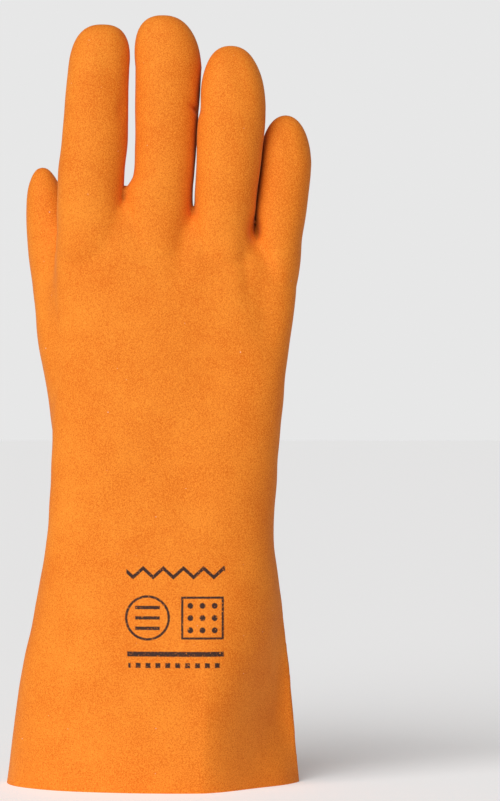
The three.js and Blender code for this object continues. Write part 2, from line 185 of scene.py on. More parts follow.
# Dents and swellings, in millimetres. side: -1 on the back of the hand, 1 on the palm side. x, z: place.
# wide, tall: reach across and along. deep: depth, below 0 for a swelling. turn: lean of its length, degrees.
DENTS = (
    # valleys under the crotches
    {"x": 14.5, "z": 248.0, "side": -1, "wide": 4.2, "tall": 15.0, "deep": 1.5, "turn": 8},
    {"x": 19.0, "z": 259.0, "side": -1, "wide": 3.0, "tall": 6.0, "deep": 0.9, "turn": 0},
    {"x": 46.6, "z": 250.5, "side": -1, "wide": 2.6, "tall": 5.5, "deep": 2.8, "turn": 0},
    {"x": 51.0, "z": 240.0, "side": -1, "wide": 2.8, "tall": 11.0, "deep": 1.3, "turn": -24},
    {"x": 50.0, "z": 218.0, "side": -1, "wide": 6.0, "tall": 20.0, "deep": 1.5, "turn": -8},
    {"x": -12.5, "z": 260.0, "side": -1, "wide": 3.4, "tall": 8.0, "deep": 0.7, "turn": 0},
    {"x": 42.5, "z": 233.0, "side": -1, "wide": 2.6, "tall": 13.0, "deep": 0.8, "turn": -6},
    # hollows and swellings of the back and the wrist
    {"x": 22.0, "z": 192.0, "side": -1, "wide": 13.0, "tall": 17.0, "deep": 1.3, "turn": -30},
    {"x": 2.0, "z": 226.0, "side": -1, "wide": 14.0, "tall": 26.0, "deep": -0.9, "turn": -30},
    {"x": 36.0, "z": 228.0, "side": -1, "wide": 7.0, "tall": 16.0, "deep": -0.6, "turn": 0},
    {"x": -20.0, "z": 150.0, "side": -1, "wide": 16.0, "tall": 26.0, "deep": -0.6, "turn": 20},
    {"x": 14.0, "z": 138.0, "side": -1, "wide": 9.0, "tall": 30.0, "deep": 0.5, "turn": -16},
    # cuff: flank, left edge, pinch near the foot
    {"x": 52.0, "z": 26.0, "side": -1, "wide": 15.0, "tall": 46.0, "deep": 6.2, "turn": 14},
    {"x": -46.0, "z": 64.0, "side": -1, "wide": 8.0, "tall": 36.0, "deep": 0.9, "turn": -14},
    {"x": -56.0, "z": 2.0, "side": -1, "wide": 12.0, "tall": 9.0, "deep": 0.9, "turn": 0},
    # nicks and soft strips of the fingers
    {"x": 19.6, "z": 306.3, "side": -1, "wide": 1.2, "tall": 3.6, "deep": 2.2, "turn": -52},
    {"x": -14.0, "z": 306.0, "side": -1, "wide": 1.8, "tall": 4.6, "deep": 1.0, "turn": 4},
    {"x": -20.5, "z": 326.0, "side": -1, "wide": 3.0, "tall": 14.0, "deep": 0.35, "turn": -8},
    {"x": 1.0, "z": 342.0, "side": -1, "wide": 3.2, "tall": 4.5, "deep": 0.5, "turn": -30},
    {"x": 40.0, "z": 318.0, "side": -1, "wide": 3.0, "tall": 13.0, "deep": 0.5, "turn": -14},
    {"x": 62.0, "z": 288.0, "side": -1, "wide": 2.6, "tall": 9.0, "deep": 0.45, "turn": -14},
    # palm side: hollow, wrist fold, cuff ridge
    {"x": 18.0, "z": 192.0, "side": 1, "wide": 22.0, "tall": 38.0, "deep": 3.6, "turn": 0},
    {"x": 12.0, "z": 118.0, "side": 1, "wide": 30.0, "tall": 7.0, "deep": 1.0, "turn": 0},
    {"x": -40.0, "z": 60.0, "side": 1, "wide": 8.0, "tall": 60.0, "deep": -1.2, "turn": 8},
    {"x": -14.0, "z": 176.0, "side": 1, "wide": 4.0, "tall": 34.0, "deep": 1.1, "turn": -24},
    # palm side: joints and pads of the fingers
    {"x": 7.0, "z": 330.0, "side": 1, "wide": 6.0, "tall": 9.0, "deep": 0.9, "turn": 0},
    {"x": 6.0, "z": 309.0, "side": 1, "wide": 11.0, "tall": 2.4, "deep": 0.9, "turn": 0},
    {"x": 5.0, "z": 289.0, "side": 1, "wide": 11.0, "tall": 2.6, "deep": 1.0, "turn": 0},
    {"x": -25.0, "z": 306.0, "side": 1, "wide": 11.0, "tall": 2.4, "deep": 0.9, "turn": 0},
    {"x": -26.0, "z": 285.0, "side": 1, "wide": 11.0, "tall": 2.6, "deep": 1.0, "turn": 0},
    {"x": 36.0, "z": 300.0, "side": 1, "wide": 11.0, "tall": 2.4, "deep": 0.9, "turn": 0},
    {"x": 34.0, "z": 280.0, "side": 1, "wide": 11.0, "tall": 2.6, "deep": 1.0, "turn": 0},
    {"x": 60.0, "z": 279.0, "side": 1, "wide": 9.0, "tall": 2.4, "deep": 0.8, "turn": 0},
)
SIDE_TURN, SIDE_START = 1.6, 0.3  # how fast a dent fades where the face turns to the other side
# Slow waves of the hand-dipped skin: height of the wave and its length along each axis, in millimetres
WAVES = ((0.28, (61.0, 47.0, 83.0)), (0.18, (37.0, 53.0, 41.0)), (0.1, (23.0, 31.0, 19.0)))
WAVE_STARTS = (1.3, 0.4)  # where the waves begin across and up, in radians

# How the skin is netted, in millimetres or steps of the grid
GRID_LOW, GRID_HIGH = (-72.0, -36.0), (90.0, 54.0, 354.0)
NEAR_STEPS = 4.0  # grid points within this many steps of the face are measured one by one
SLOPE_REACH = 0.02  # how far apart two measures lie when a slope is taken
LONGEST_MOVE = 2.0  # of a corner in one round of settling
LEAST_SLOPE = 0.25  # square of the slope that settling divides by at the least
LEAST_GAUGE, LEAST_REACH = 1e-4, 1e-3  # what other divisions divide by at the least
EASE_ROUNDS, EASE_SHARE = 4, 0.5  # rounds of pulling each corner a share of the way to its neighbours' mean
SETTLE_ROUNDS = 3

# The print, in millimetres from its middle. line: half the width of a line.
PRINT_PLACE = (8.5, 78.0)  # across and up
ZIGZAG = {
    "z": 19.5, "pitch": 9.0, "rise": 0.9, "drop": 2.0, "start": 1.0, "line": 1.0, "wide": 44.0, "tall": 12.0,
}
RING = {"x": -12.5, "z": -0.5, "radius": 9.5, "line": 0.55}
RING_BARS = {"pitch": 4.6, "line": 0.75, "wide": 11.0, "tall": 11.2}
FRAME = {"x": 12.0, "z": -0.5, "half": 9.0, "line": 0.5}
DOTS = {"pitch": 5.4, "radius": 1.3, "wide": 15.0}
LONG_BAR = {"z": -16.5, "wide": 43.0, "tall": 2.2}
TICKS = {"z": -21.5, "pitch": 4.4, "start": 1.0, "line": 1.1, "wide": 42.0, "tall": 2.2}
PRINT_SOFTNESS = 0.14  # of its edges
PRINT_RAGGED = (2.2, 0.5)  # clouds to the millimetre that fray the edges, and how far
PRINT_WORN = (0.3, 0.42)  # values of the wear below which the ink is gone and above which it is whole
PRINT_COVER = 0.96

# Grain of the coating: clouds to the millimetre and strength
GRAIN, FINE_GRAIN, MOTTLE = (1.7, 2.6), (2.9, 2.4), (0.045, 0.9)
# Lint: cells to the millimetre, radius of a speck in cells, and the share of cells without one
LINT = ((0.16, 0.045, 0.86), (0.1, 0.03, 0.8), (0.23, 0.04, 0.8))
LINT_COVER = 0.75
# strength of the painted shade where fingers lie close together
PAINTED_SHADE_COVER = 0.7
SHEEN = (255, 226, 190)  # tint of the dusty sheen
RIB, COURSE = 1.6, 1.3  # the knit's loops across and up, in millimetres

COATING, KNIT, CUT = range(3)  # places of the materials on the skin
FLOOR_HALF = 12.0  # half the side of the floor, in metres
LIGHT_ANGLE = 50  # how wide each light stands in the sky, in degrees


def table(columns, rows):
    """Rows of numbers as one array for each column name."""
    return dict(zip(columns, np.array(rows, float).T))


def body_table():
    """The body's sections in millimetres: each share times the width or depth that its row follows."""
    rows = []
    for (width, depth), row in BODY_SECTIONS:
        scale = (BODY_LENGTH, width, width, width, depth, width, depth, depth, 1, 1, 1, 1)
        rows.append(np.array(row) * scale)
    return table(BODY_COLUMNS, rows)


def column_at(columns, key, up):
    """Value of a column at each height: a cubic from row to row whose slope at a row is that of the line
    through the rows before and after it, carried straight on past both ends."""
    knots, values = columns["up"], columns[key]
    before = np.maximum(np.arange(len(knots)) - 1, 0)
    after = np.minimum(np.arange(len(knots)) + 1, len(knots) - 1)
    slopes = (values[after] - values[before]) / (knots[after] - knots[before])
    inside = np.clip(up, knots[0], knots[-1])
    low = np.clip(np.searchsorted(knots, inside, side="right") - 1, 0, len(knots) - 2)
    gap = knots[low + 1] - knots[low]
    t = (inside - knots[low]) / gap
    value = (1 + 2 * t) * (1 - t) ** 2 * values[low] + t * t * (3 - 2 * t) * values[low + 1]
    value += t * (1 - t) ** 2 * gap * slopes[low] + t * t * (t - 1) * gap * slopes[low + 1]
    return value + np.minimum(up - knots[0], 0) * slopes[0] + np.maximum(up - knots[-1], 0) * slopes[-1]


def smooth_step(value):
    """0 below 0, 1 above 1, and 3t^2 - 2t^3 between."""
    t = np.clip(value, 0, 1)
    return t * t * (3 - 2 * t)


def power_norm(a, b, power):
    """(a^p + b^p)^(1/p), never quite 0."""
    return np.maximum((a**power + b**power) ** (1 / power), LEAST_GAUGE)


def level_with_normal(gauge, parts):
    """Distance to the face where the gauge is 1, to first order: (gauge - 1) / slope. With it comes the
    direction in which it grows."""
    slope = np.stack(parts, axis=-1)
    steepness = np.maximum(np.linalg.norm(slope, axis=-1), LEAST_REACH)
    return (gauge - 1) / steepness, slope / steepness[..., None]


def body_level(columns, x, y, z):
    """Distance to the body's face. At each height the section is four quarters of a swollen ellipse,
    |dx / a|^p + |dy / b|^p = 1, that meet at the side edges and at the crests of back and palm. Its depth
    closes over the top as |dy / b|^n + |dz / h|^n = 1, and the sections lean towards the little finger."""
    up = z
    for _ in range(2):
        up = z - column_at(columns, "lean", up) * (x - column_at(columns, "ridge", up))
    at = {key: column_at(columns, key, up) for key in BODY_COLUMNS[1:]}
    on_back = y < at["edge"]
    crest = np.where(on_back, at["ridge"], at["hollow"])
    to_right = x > crest
    half_width = np.where(to_right, at["right"] - crest, crest - at["left"])
    half_depth = np.where(on_back, at["edge"] - at["front"], at["back"] - at["edge"])
    fullness = np.where(on_back, np.where(to_right, at["tight"], at["soft"]), at["full"])
    across = np.abs(x - crest) / half_width
    along = np.abs(y - at["edge"]) / half_depth
    top_height = (BODY_TOP - TOP_START) * BODY_LENGTH
    above = np.maximum(up - TOP_START * BODY_LENGTH, 0) / top_height
    deep = power_norm(along, above, TOP_FULLNESS)
    gauge = power_norm(across, deep, fullness)
    by_across = across ** (fullness - 1) * gauge ** (1 - fullness) / half_width * np.sign(x - crest)
    by_deep = deep ** (fullness - 1) * gauge ** (1 - fullness)
    by_along = by_deep * along ** (TOP_FULLNESS - 1) * deep ** (1 - TOP_FULLNESS) / half_depth
    by_above = by_deep * above ** (TOP_FULLNESS - 1) * deep ** (1 - TOP_FULLNESS) / top_height
    return level_with_normal(gauge, (by_across, by_along * np.sign(y - at["edge"]), by_above))


def spread_at(finger, z):
    """How far a finger is held aside at each height: nothing below its web, all of it a little above."""
    return finger["spread"] * smooth_step((z - finger["crotch"]) / SPREAD_RISE)


def finger_level(finger, columns, x, y, z):
    """Distance to a finger's face. At each height the section is the swollen ellipse
    |dx / a|^p + |dy / b|^p = 1, and above the last row the same form closes over the height h of the tip as
    r^n + |dz / h|^n = 1."""
    up = (z - finger["rise"] * BODY_LENGTH) / finger["length"]
    first, last = columns["up"][0], columns["up"][-1]
    held = np.clip(up, first, last)
    at = {key: column_at(columns, key, held) for key in FINGER_COLUMNS[1:]}
    high = np.clip((up - last) / (1 - last), 0, 1)
    shift = at["across"] + (finger["tip"] - at["across"]) * high
    bend = at["bend"] + (finger["bow"] - at["bend"]) * high
    middle_x = finger["foot"] * PALM_WIDTH + shift * finger["width"] + spread_at(finger, z)
    middle_y = bend * finger["depth"]
    half_width = at["wide"] * finger["width"] / 2
    half_depth = at["deep"] * finger["depth"] / 2
    tip_height = (1 - last) * finger["length"]
    across = np.abs(x - middle_x) / half_width
    along = np.abs(y - middle_y) / half_depth
    above = np.maximum(up - last, 0) * finger["length"] / tip_height
    below = np.maximum(first - up, 0) * finger["length"] / half_width
    ring = power_norm(across, along, FINGER_FULLNESS)
    blunt = finger["blunt"]
    gauge = power_norm(ring, above + below, blunt)
    by_ring = ring ** (blunt - 1) * gauge ** (1 - blunt) * ring ** (1 - FINGER_FULLNESS)
    by_across = by_ring * across ** (FINGER_FULLNESS - 1) / half_width * np.sign(x - middle_x)
    by_along = by_ring * along ** (FINGER_FULLNESS - 1) / half_depth * np.sign(y - middle_y)
    by_above = above ** (blunt - 1) * gauge ** (1 - blunt) / tip_height
    by_below = below ** (blunt - 1) * gauge ** (1 - blunt) / half_width
    return level_with_normal(gauge, (by_across, by_along, by_above - by_below))


def soft_join(one, other, reach):
    """Joins two forms: the lower distance, less reach / 4 * h^2 where h = 1 - |difference| / reach. The reach
    shrinks to nothing as the two faces come to point the same way, so that faces in line don't swell."""
    (level_a, normal_a), (level_b, normal_b) = one, other
    facing = np.clip(1 - np.sum(normal_a * normal_b, axis=-1), 0, 1)
    reach = np.maximum(reach * facing, LEAST_REACH)
    near = np.maximum(1 - np.abs(level_a - level_b) / reach, 0)
    first = level_a < level_b
    level = np.where(first, level_a, level_b) - reach / 4 * near * near
    return level, np.where(first[..., None], normal_a, normal_b)


class GloveForm:
    """The glove's outer face as a distance in millimetres, with its fingers held apart."""

    def __init__(self):
        self.body = body_table()
        self.fingers = {name: table(FINGER_COLUMNS, finger["rows"]) for name, finger in FINGERS.items()}

    def spread(self, points):
        """Sideways shift of each point: that of the finger whose face is nearest."""
        x, y, z = points.T
        levels, shifts = [], []
        for name, finger in FINGERS.items():
            levels.append(finger_level(finger, self.fingers[name], x, y, z)[0])
            shifts.append(spread_at(finger, z))
        nearest = np.argmin(levels, axis=0)
        return np.take_along_axis(np.array(shifts), nearest[None], axis=0)[0]

    def closeness(self, points):
        """How close each point of a finger lies to the next finger as they are worn: exp(-(gap / reach)^2),
        fading to nothing at the web between the two. It sets where shade is painted into the coating's
        colour."""
        x, y, z = points.T
        near = np.zeros_like(x)
        for *pair, foot in PAINTED_SHADE_PAIRS:
            gap = np.zeros_like(x)
            for name in pair:
                finger = FINGERS[name]
                shifted = x + spread_at(finger, z)
                gap = np.maximum(gap, finger_level(finger, self.fingers[name], shifted, y, z)[0])
            fade = smooth_step((z - foot) / PAINTED_SHADE_RISE)
            near = np.maximum(near, np.exp(-((gap / PAINTED_SHADE_REACH) ** 2)) * fade)
        return near

    def level(self, points):
        """Joined distance of body, thumb and fingers, with dents and waves added."""
        x, y, z = points.T
        thumb = finger_level(FINGERS["thumb"], self.fingers["thumb"], x, y, z)
        joined = soft_join(body_level(self.body, x, y, z), thumb, THUMB_BLEND)
        below = smooth_step((WEB_HEIGHT - z) / (WEB_HEIGHT - ROOT_HEIGHT))
        reach = WEB_BLEND + (ROOT_BLEND - WEB_BLEND) * below
        shift, lowest = np.zeros_like(x), np.full_like(x, np.inf)
        for name in ("index", "middle", "ring", "little"):
            finger = FINGERS[name]
            one = finger_level(finger, self.fingers[name], x, y, z)
            joined = soft_join(joined, one, reach)
            shift = np.where(one[0] < lowest, spread_at(finger, z), shift)
            lowest = np.minimum(lowest, one[0])
        return joined[0] + self.relief(x - shift, y, z, joined[1])

    def relief(self, x, y, z, normal):
        """Depth of the dents, each deep * exp(-(across / wide)^2 - (along / tall)^2) on its own side, and of
        the slow waves, each a product of sines."""
        depth = np.zeros_like(x)
        for dent in DENTS:
            turn = np.radians(dent["turn"])
            dx, dz = x - dent["x"], z - dent["z"]
            across = (dx * np.cos(turn) - dz * np.sin(turn)) / dent["wide"]
            along = (dx * np.sin(turn) + dz * np.cos(turn)) / dent["tall"]
            facing = smooth_step(normal[..., 1] * dent["side"] * SIDE_TURN + SIDE_START)
            depth += dent["deep"] * np.exp(-(across**2) - along**2) * facing
        for height, lengths in WAVES:
            wave = np.sin(2 * np.pi * x / lengths[0] + WAVE_STARTS[0])
            wave = wave * np.sin(2 * np.pi * z / lengths[2] + WAVE_STARTS[1])
            depth += height * wave * np.cos(2 * np.pi * y / lengths[1])
        return depth


def face_net(values, origin, step):
    """Net of quads over the face where a grid of values crosses 0: one corner in each cell that the face
    crosses, at the mean of its crossings, and one quad round each grid line that crosses the face."""
    cells = tuple(n - 1 for n in values.shape)
    total, count = np.zeros(cells + (3,)), np.zeros(cells)
    index = np.stack(np.meshgrid(*(np.arange(n) for n in cells), indexing="ij"), axis=-1).astype(float)
    for axis in range(3):
        others = [a for a in range(3) if a != axis]
        for offset in ((0, 0), (0, 1), (1, 0), (1, 1)):
            start = [0, 0, 0]
            start[others[0]], start[others[1]] = offset
            end = list(start)
            end[axis] = 1
            low = values[tuple(slice(s, s + n) for s, n in zip(start, cells))]
            high = values[tuple(slice(s, s + n) for s, n in zip(end, cells))]
            crosses = (low < 0) != (high < 0)
            share = np.where(crosses, low / np.where(crosses, low - high, 1), 0)
            place = np.array(start, float) + index
            place[..., axis] += share
            total += place * crosses[..., None]
            count += crosses
    used = count > 0
    numbers = np.full(cells, -1)
    numbers[used] = np.arange(used.sum())
    corners = origin + step * total[used] / count[used][:, None]
    quads = []
    for axis in range(3):
        one, two = ((1, 2), (2, 0), (0, 1))[axis]
        low = np.take(values, range(values.shape[axis] - 1), axis=axis)
        high = np.take(values, range(1, values.shape[axis]), axis=axis)
        place = np.argwhere((low < 0) != (high < 0))
        inner = (place[:, one] > 0) & (place[:, two] > 0)
        inner &= (place[:, one] < cells[one]) & (place[:, two] < cells[two])
        place = place[inner]
        around = []
        for back_one, back_two in ((1, 1), (0, 1), (0, 0), (1, 0)):
            cell = place.copy()
            cell[:, one] -= back_one
            cell[:, two] -= back_two
            around.append(numbers[tuple(cell.T)])
        quad = np.stack(around, axis=1)
        leaving = low[tuple(place.T)] < 0
        quads.append(np.where(leaving[:, None], quad, quad[:, ::-1]))
    return corners, np.concatenate(quads)


def edges_of(quads):
    """Directed edges of the quads, one row each."""
    return np.concatenate([quads[:, [i, (i + 1) % 4]] for i in range(4)])


def open_edges(quads, count):
    """Directed edges that only one quad has."""
    edges = edges_of(quads)
    forward = edges[:, 0] * count + edges[:, 1]
    backward = edges[:, 1] * count + edges[:, 0]
    return edges[~np.isin(forward, backward)]


def settle(form, points, depth, held, rounds):
    """Moves points onto the face a depth inside the form by Newton's step, level / slope^2 times the slope.
    Points on the cuff edge are held to its plane."""
    for _ in range(rounds):
        level = form.level(points) + depth
        slope = np.empty_like(points)
        for axis in range(3):
            aside = np.zeros(3)
            aside[axis] = SLOPE_REACH
            slope[:, axis] = (form.level(points + aside) + depth - level) / SLOPE_REACH
        slope[held, 2] = 0
        size = np.maximum(np.sum(slope**2, axis=1), LEAST_SLOPE)
        points = points - np.clip(level / size, -LONGEST_MOVE, LONGEST_MOVE)[:, None] * slope
    return points


def grid_points(low, step, counts):
    """Points of a grid from its lowest corner, one row each."""
    axes = [low[a] + step * np.arange(counts[a]) for a in range(3)]
    return np.stack(np.meshgrid(*axes, indexing="ij"), axis=-1).reshape(-1, 3)


def skin_net(form, step, depth):
    """Corners and quads of the face a depth inside the form, open along the cuff edge at height 0, and which
    corners are held to that edge. The form is measured on a grid of two steps, and of one step near its
    face. The lowest layer lies half a step up, and a strip of quads leads from its net down to height 0."""
    low = np.array([*GRID_LOW, step / 2])
    high = np.array(GRID_HIGH)
    blocks = np.ceil((high - low) / (2 * step)).astype(int) + 1
    coarse = form.level(grid_points(low, 2 * step, blocks) + step / 2).reshape(blocks) + depth
    values = coarse.repeat(2, axis=0).repeat(2, axis=1).repeat(2, axis=2)
    near = np.abs(values) < NEAR_STEPS * step
    values[near] = form.level(grid_points(low, step, 2 * blocks)[near.ravel()]) + depth
    points, quads = face_net(values, low, step)
    rim = open_edges(quads, len(points))
    ring = np.unique(rim)
    lowered = np.full(len(points), -1)
    lowered[ring] = len(points) + np.arange(len(ring))
    foot = points[ring] * (1, 1, 0)
    strip = np.stack([rim[:, 1], rim[:, 0], lowered[rim[:, 0]], lowered[rim[:, 1]]], axis=1)
    points = np.concatenate([points, foot])
    quads = np.concatenate([quads, strip])
    held = np.zeros(len(points), bool)
    held[lowered[ring]] = True
    edges = edges_of(quads)
    ring_edges = edges[held[edges[:, 0]] & held[edges[:, 1]]]
    ring_edges = np.concatenate([ring_edges, ring_edges[:, ::-1]])
    for _ in range(EASE_ROUNDS):
        points = settle(form, points, depth, held, 1)
        pulled = neighbour_mean(points, edges)
        pulled[held] = neighbour_mean(points, ring_edges)[held]
        points = points + EASE_SHARE * (pulled - points)
    return settle(form, points, depth, held, SETTLE_ROUNDS), quads, held


def neighbour_mean(points, edges):
    """Mean place of the corners that share an edge with each corner."""
    starts, ends = edges.T
    share = np.bincount(starts, minlength=len(points))
    total = np.stack([np.bincount(starts, points[ends, a], len(points)) for a in range(3)], axis=1)
    return np.where(share[:, None] > 0, total / np.maximum(share, 1)[:, None], points)


class Value:
    """A socket of the material being made; the operators add the Math node that they stand for."""

    def __init__(self, maker, socket):
        self.maker = maker
        self.socket = socket

    def _math(self, operation, *others):
        return self.maker.node("ShaderNodeMath", {"operation": operation}, self, *others)

    def __add__(self, other):
        return self._math("ADD", other)

    def __radd__(self, other):
        return self._math("ADD", other)

    def __sub__(self, other):
        return self._math("SUBTRACT", other)

    def __rsub__(self, other):
        return self.maker.node("ShaderNodeMath", {"operation": "SUBTRACT"}, other, self)

    def __mul__(self, other):
        return self._math("MULTIPLY", other)

    def __rmul__(self, other):
        return self._math("MULTIPLY", other)

    def __truediv__(self, other):
        return self._math("DIVIDE", other)

    def __abs__(self):
        return self._math("ABSOLUTE")

    def lower(self, other):
        """The lower of two values."""
        return self._math("MINIMUM", other)

    def higher(self, other):
        """The higher of two values."""
        return self._math("MAXIMUM", other)

    def repeat(self, length):
        """Distance to the nearest whole number of lengths."""
        return self._math("PINGPONG", length / 2)

    def root(self):
        """Square root."""
        return self._math("SQRT")

    def between(self, low, high):
        """0 below low, 1 above high, and a straight line between."""
        settings = {"clamp": True}
        return self.maker.node("ShaderNodeMapRange", settings, self, low, high, 0.0, 1.0)


class Finish:
    """Maker of one material. Each method adds nodes and returns the value that they give."""

    def __init__(self, name):
        self.material = bpy.data.materials.new(name)
        self.material.use_nodes = True
        self.tree = self.material.node_tree
        self.shader = self.tree.nodes["Principled BSDF"]

    def put(self, socket, value):
        """Sets a socket to a number or colour, or links a value to it."""
        if isinstance(value, Value):
            self.tree.links.new(value.socket, socket)
        else:
            socket.default_value = value

    def node(self, kind, settings, *values, output=0, **named):
        """Adds a node with its settings, gives its inputs values in order or by name, and returns one of
        its outputs."""
        made = self.tree.nodes.new(kind)
        for name, setting in settings.items():
            setattr(made, name, setting)
        for socket, value in zip(made.inputs, values):
            self.put(socket, value)
        for name, value in named.items():
            self.put(made.inputs[name.replace("_", " ")], value)
        return Value(self, made.outputs[output])

    def place(self):
        """Place on the object in millimetres."""
        spot = self.node("ShaderNodeTexCoord", {}, output="Object")
        return self.node("ShaderNodeVectorMath", {"operation": "SCALE"}, spot, Scale=1 / MM)

    def split(self, vector):
        """X, Y and Z of a vector."""
        made = self.tree.nodes.new("ShaderNodeSeparateXYZ")
        self.put(made.inputs[0], vector)
        return [Value(self, output) for output in made.outputs]

    def noise(self, place, scale, detail, roughness):
        """Cloudy values about 0.5, with this many clouds to the millimetre."""
        values = {"Vector": place, "Scale": scale, "Detail": detail, "Roughness": roughness}
        return self.node("ShaderNodeTexNoise", {}, output="Fac", **values)

    def cells(self, place, scale, output):
        """Distance to the nearest of scattered points, or its random colour, with this many to the
        millimetre."""
        values = {"Vector": place, "Scale": scale, "Randomness": 1.0}
        return self.node("ShaderNodeTexVoronoi", {}, output=output, **values)

    def mix(self, share, first, second):
        """Colour between two colours."""
        made = self.tree.nodes.new("ShaderNodeMix")
        made.data_type = "RGBA"
        self.put(made.inputs["Factor"], share)
        colour_inputs = [socket for socket in made.inputs if socket.type == "RGBA"]
        self.put(colour_inputs[0], first)
        self.put(colour_inputs[1], second)
        return Value(self, next(socket for socket in made.outputs if socket.type == "RGBA"))

    def shade(self, **values):
        """Sets sockets of the shader by name."""
        for name, value in values.items():
            self.put(self.shader.inputs[name.replace("_", " ")], value)
        return self.material


def linear(colour, alpha=1.0):
    """Screen colour from 0 to 255 as the light that it stands for: ((share + 0.055) / 1.055)^2.4 of each
    share of 255, and share / 12.92 where it is nearly black."""
    share = np.array(colour, float) / 255
    light = np.where(share <= 0.04045, share / 12.92, ((share + 0.055) / 1.055) ** 2.4)
    return (*light, alpha)


def print_marks(finish, place, colours):
    """Cover of the dark print on the back of the cuff, from 0 to 1: a zigzag band, a ring with three bars,
    a frame with nine dots, a bar and a row of ticks. Each is a distance to its edge, below 0 inside."""
    x, y, z = finish.split(place)
    across = x - PRINT_PLACE[0]
    height = z - PRINT_PLACE[1]

    def block(mid_x, mid_z, wide, tall):
        return (abs(across - mid_x) - wide / 2).higher(abs(height - mid_z) - tall / 2)

    def length(one, other):
        return (one * one + other * other).root()

    teeth = (across + ZIGZAG["start"]).repeat(ZIGZAG["pitch"]) * ZIGZAG["rise"]
    zigzag = abs(height - ZIGZAG["z"] - teeth + ZIGZAG["drop"]) - ZIGZAG["line"]
    band = zigzag.higher(block(0.0, ZIGZAG["z"], ZIGZAG["wide"], ZIGZAG["tall"]))
    ring = abs(length(across - RING["x"], height - RING["z"]) - RING["radius"]) - RING["line"]
    bars = (height - RING["z"]).repeat(RING_BARS["pitch"]) - RING_BARS["line"]
    bars = bars.higher(block(RING["x"], RING["z"], RING_BARS["wide"], RING_BARS["tall"]))
    frame_x, frame_z = across - FRAME["x"], height - FRAME["z"]
    square = abs(abs(frame_x).higher(abs(frame_z)) - FRAME["half"]) - FRAME["line"]
    dots = length(frame_x.repeat(DOTS["pitch"]), frame_z.repeat(DOTS["pitch"])) - DOTS["radius"]
    dots = dots.higher(block(FRAME["x"], FRAME["z"], DOTS["wide"], DOTS["wide"]))
    long_bar = block(0.0, LONG_BAR["z"], LONG_BAR["wide"], LONG_BAR["tall"])
    ticks = (across - TICKS["start"]).repeat(TICKS["pitch"]) - TICKS["line"]
    ticks = ticks.higher(block(0.0, TICKS["z"], TICKS["wide"], TICKS["tall"]))
    edge = band
    for mark in (ring, bars, square, dots, long_bar, ticks):
        edge = edge.lower(mark)
    ragged = finish.noise(place, PRINT_RAGGED[0], 2.0, 0.6) * PRINT_RAGGED[1] - PRINT_RAGGED[1] / 2
    cover = 1 - (edge + ragged).between(-PRINT_SOFTNESS, PRINT_SOFTNESS)
    worn = finish.noise(place, 1.3, 3.0, 0.7).between(*PRINT_WORN)
    behind = (y - colours.print_depth).between(0.0, 1.0)
    return cover * worn * (1 - behind)


def coating_finish(colours):
    """Matt sandy coating: orange with fine grain, slow mottling, a few specks of lint, the dark print, and
    painted shade where fingers lie close together."""
    finish = Finish("coating")
    place = finish.place()
    grain = finish.noise(place, GRAIN[0], 2.0, 0.65)
    fine = finish.noise(place, FINE_GRAIN[0], 2.0, 0.6)
    mottle = finish.noise(place, MOTTLE[0], 3.0, 0.55)
    light = 0.5 + (grain - 0.5) * GRAIN[1] + (fine - 0.5) * FINE_GRAIN[1] + (mottle - 0.5) * MOTTLE[1]
    colour = finish.mix(light.between(0.0, 1.0), linear(colours.shade), linear(colours.coat))
    for scale, size, bare in LINT:
        pick = finish.split(finish.cells(place, scale, "Color"))[0]
        inside = 1 - finish.cells(place, scale, "Distance").between(size * 0.6, size)
        speck = inside * pick.between(bare, bare + 0.01)
        colour = finish.mix(speck * LINT_COVER, colour, linear(colours.lint))
    marks = print_marks(finish, place, colours)
    colour = finish.mix(marks * PRINT_COVER, colour, linear(colours.print_ink))
    # painted shade: the colour darkens where fingers lie close together, where shade would fall
    painted_crease_shade = finish.node("ShaderNodeAttribute", {"attribute_name": "painted_crease_shade"}, output="Fac")
    colour = finish.mix(painted_crease_shade * PAINTED_SHADE_COVER, colour, linear(colours.painted_crease_shade))
    relief = grain * 0.65 + fine * 0.35
    normal = finish.node("ShaderNodeBump", {}, Strength=0.5, Distance=0.00022, Height=relief)
    return finish.shade(
        Base_Color=colour,
        Roughness=0.8,
        Normal=normal,
        Specular_IOR_Level=0.3,
        Sheen_Weight=0.14,
        Sheen_Roughness=0.35,
        Sheen_Tint=linear(SHEEN),
    )


def knit_finish(colours):
    """Inside of the glove: pale knitted cotton, with rows of loops along and across the hand."""
    finish = Finish("knit")
    place = finish.place()
    x, _, z = finish.split(place)
    loops = finish.noise(place, 0.9, 2.0, 0.5)
    rib = x.repeat(RIB) / (RIB / 2)
    course = z.repeat(COURSE) / (COURSE / 2)
    weave = (rib * 0.6 + course * 0.4 + (loops - 0.5) * 0.5).between(0.0, 1.0)
    colour = finish.mix(weave, linear(colours.knit_shade), linear(colours.knit))
    normal = finish.node("ShaderNodeBump", {}, Strength=0.5, Distance=0.0003, Height=weave)
    return finish.shade(Base_Color=colour, Roughness=0.95, Normal=normal, Specular_IOR_Level=0.2)


def cut_finish(colours):
    """Cut edge of the cuff: the coating's orange a little deeper."""
    finish = Finish("cut_edge")
    grain = finish.noise(finish.place(), 1.4, 2.0, 0.6)
    colour = finish.mix(grain, linear(colours.shade), linear(colours.coat))
    return finish.shade(Base_Color=colour, Roughness=0.85, Specular_IOR_Level=0.25)


class GloveSizes(bpy.types.PropertyGroup):
    """How finely the skin is drawn."""

    outer_step: FloatProperty(
        name="Outer step",
        description="Side of one face of the coating, in millimetres",
        default=1.6,
        min=1.2,
        max=4,
    )
    inner_step: FloatProperty(
        name="Inner step",
        description="Side of one face of the inside, in millimetres",
        default=2.6,
        min=1.6,
        max=5,
    )


